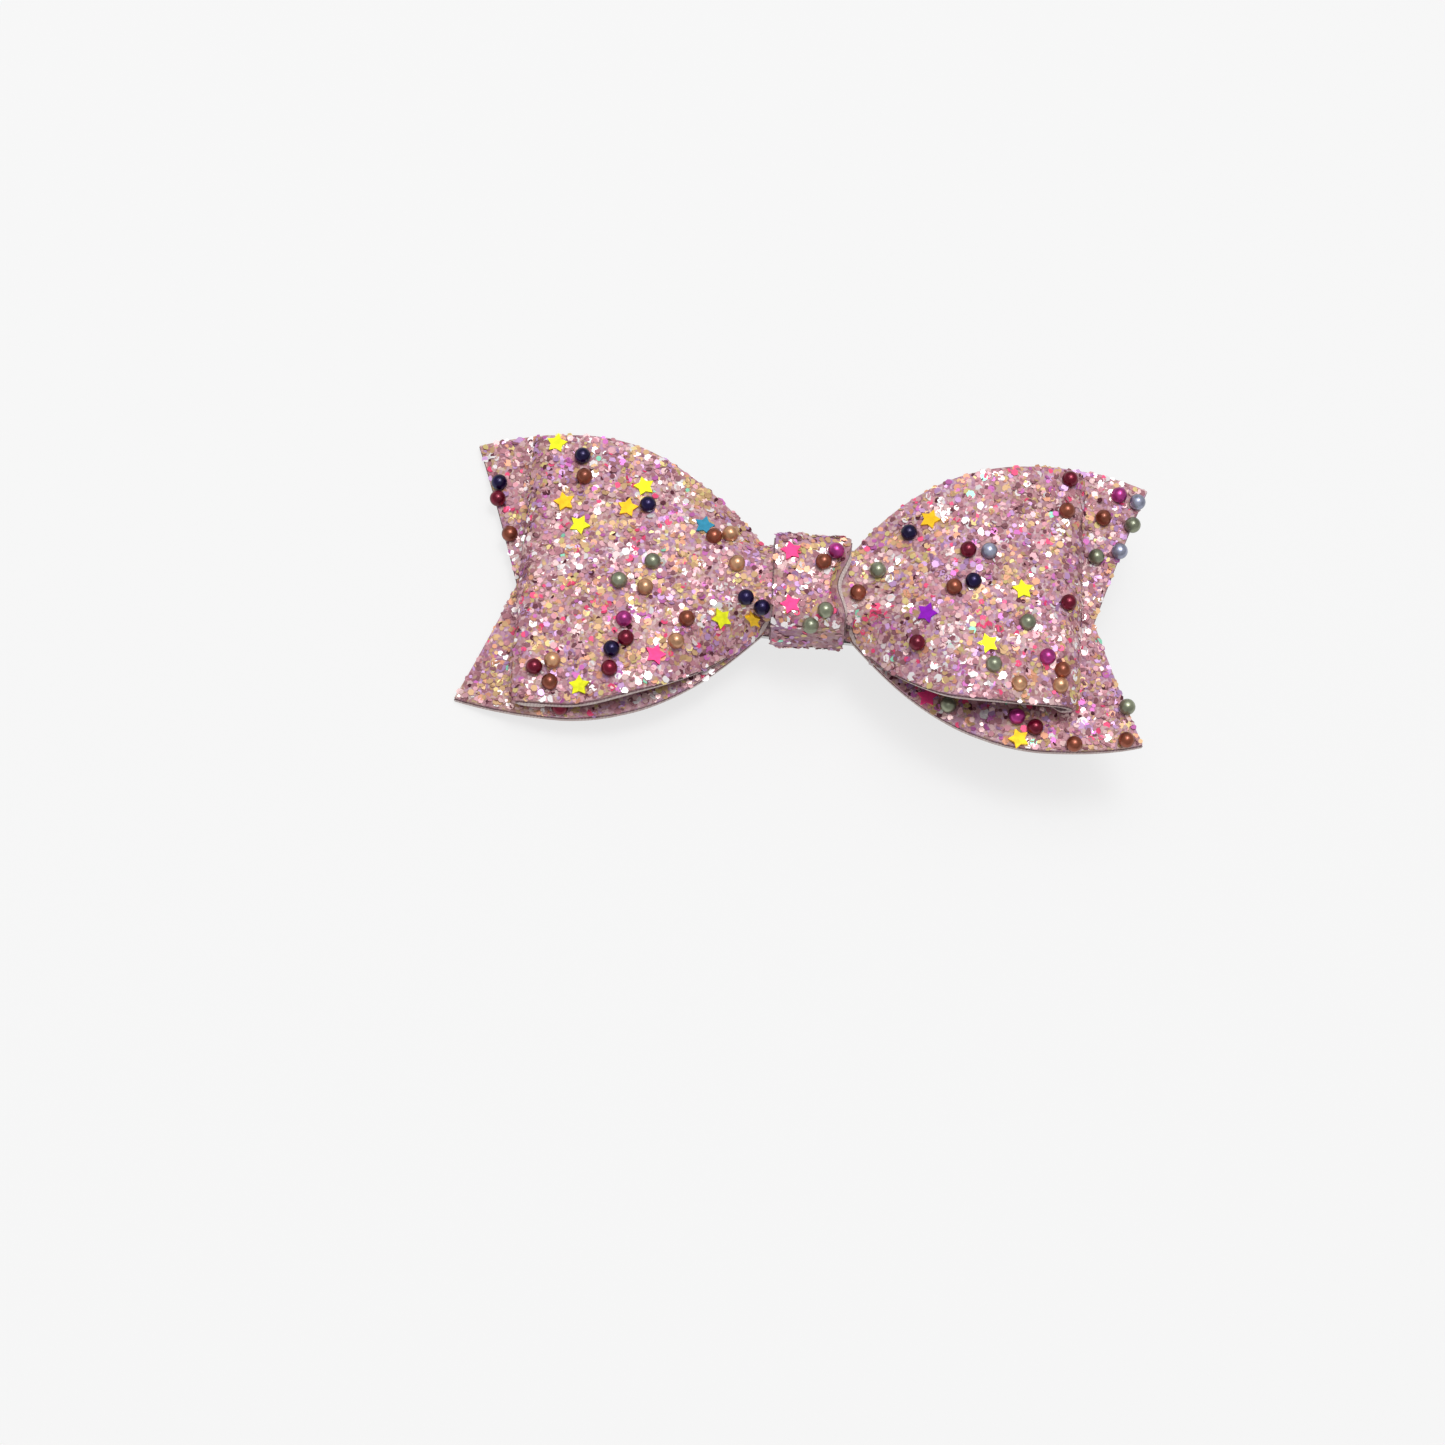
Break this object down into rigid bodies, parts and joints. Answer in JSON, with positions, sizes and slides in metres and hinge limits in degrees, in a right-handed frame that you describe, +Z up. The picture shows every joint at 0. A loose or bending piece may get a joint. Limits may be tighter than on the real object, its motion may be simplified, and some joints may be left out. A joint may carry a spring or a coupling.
{
  "type": "hair bow",
  "caption": "Glitter-canvas hair bow: two folded loops over a notched tail, pinched by a centre wrap onto a sprung alligator clip.",
  "frame": {"origin": "on the surface that the bow lies on, under the middle of its bounding box", "axes": "+X along the bow's width towards the clip's lever, +Y along its height, +Z up; the bow's face leans 8.8 degrees about Y, because it lies on the lever's end and its two -X tail tips"},
  "size_m": [0.0746, 0.0346, 0.0191],
  "materials": {
    "canvas": "woven cotton canvas, matt",
    "glitter_coat": "clear resin full of fine glitter",
    "hot_glue": "cloudy hot-melt",
    "clip_steel": "nickel-plated, satin",
    "spring_steel": "drawn wire, bright",
    "pearl_navy": "pearl lacquer on a plastic bead",
    "pearl_burgundy": "pearl lacquer on a plastic bead",
    "pearl_copper": "pearl lacquer on a plastic bead",
    "pearl_champagne": "pearl lacquer on a plastic bead",
    "pearl_sage": "pearl lacquer on a plastic bead",
    "pearl_silver": "pearl lacquer on a plastic bead",
    "pearl_magenta": "pearl lacquer on a plastic bead",
    "foil_lemon": "coloured foil sequin",
    "foil_amber": "coloured foil sequin",
    "foil_violet": "coloured foil sequin",
    "foil_teal": "coloured foil sequin",
    "foil_pink": "coloured foil sequin"
  },
  "bodies": {
    "bow": {"tail_backing": "canvas", "tail_glitter": "glitter_coat", "loop_backing": "canvas", "loop_glitter": "glitter_coat", "wrap_backing": "canvas", "wrap_glitter": "glitter_coat", "glue_clip": "hot_glue", "glue_tail": "hot_glue", "glue_ends": "hot_glue", "glue_pinch": "hot_glue", "glue_wrap": "hot_glue", "clip_top_arm": "clip_steel", "clip_pin": "clip_steel", "clip_spring": "spring_steel", "beads_navy": "pearl_navy", "beads_burgundy": "pearl_burgundy", "beads_copper": "pearl_copper", "beads_champagne": "pearl_champagne", "beads_sage": "pearl_sage", "beads_silver": "pearl_silver", "beads_magenta": "pearl_magenta", "stars_lemon": "foil_lemon", "stars_amber": "foil_amber", "stars_violet": "foil_violet", "stars_teal": "foil_teal", "stars_pink": "foil_pink"},
    "lower_arm": {"clip_lower_arm": "clip_steel"}
  },
  "joints": [
    {"name": "clip_hinge", "type": "hinge", "parent": "bow", "child": "lower_arm", "pos_m": [0.00873, -0.0008, 0.00444], "axis": [0, -1, 0], "range_deg": [0, 30], "stiffness_Nm_per_rad": 0.15, "springref_deg": -45.84, "deforming": ["clip_spring"]}
  ]
}
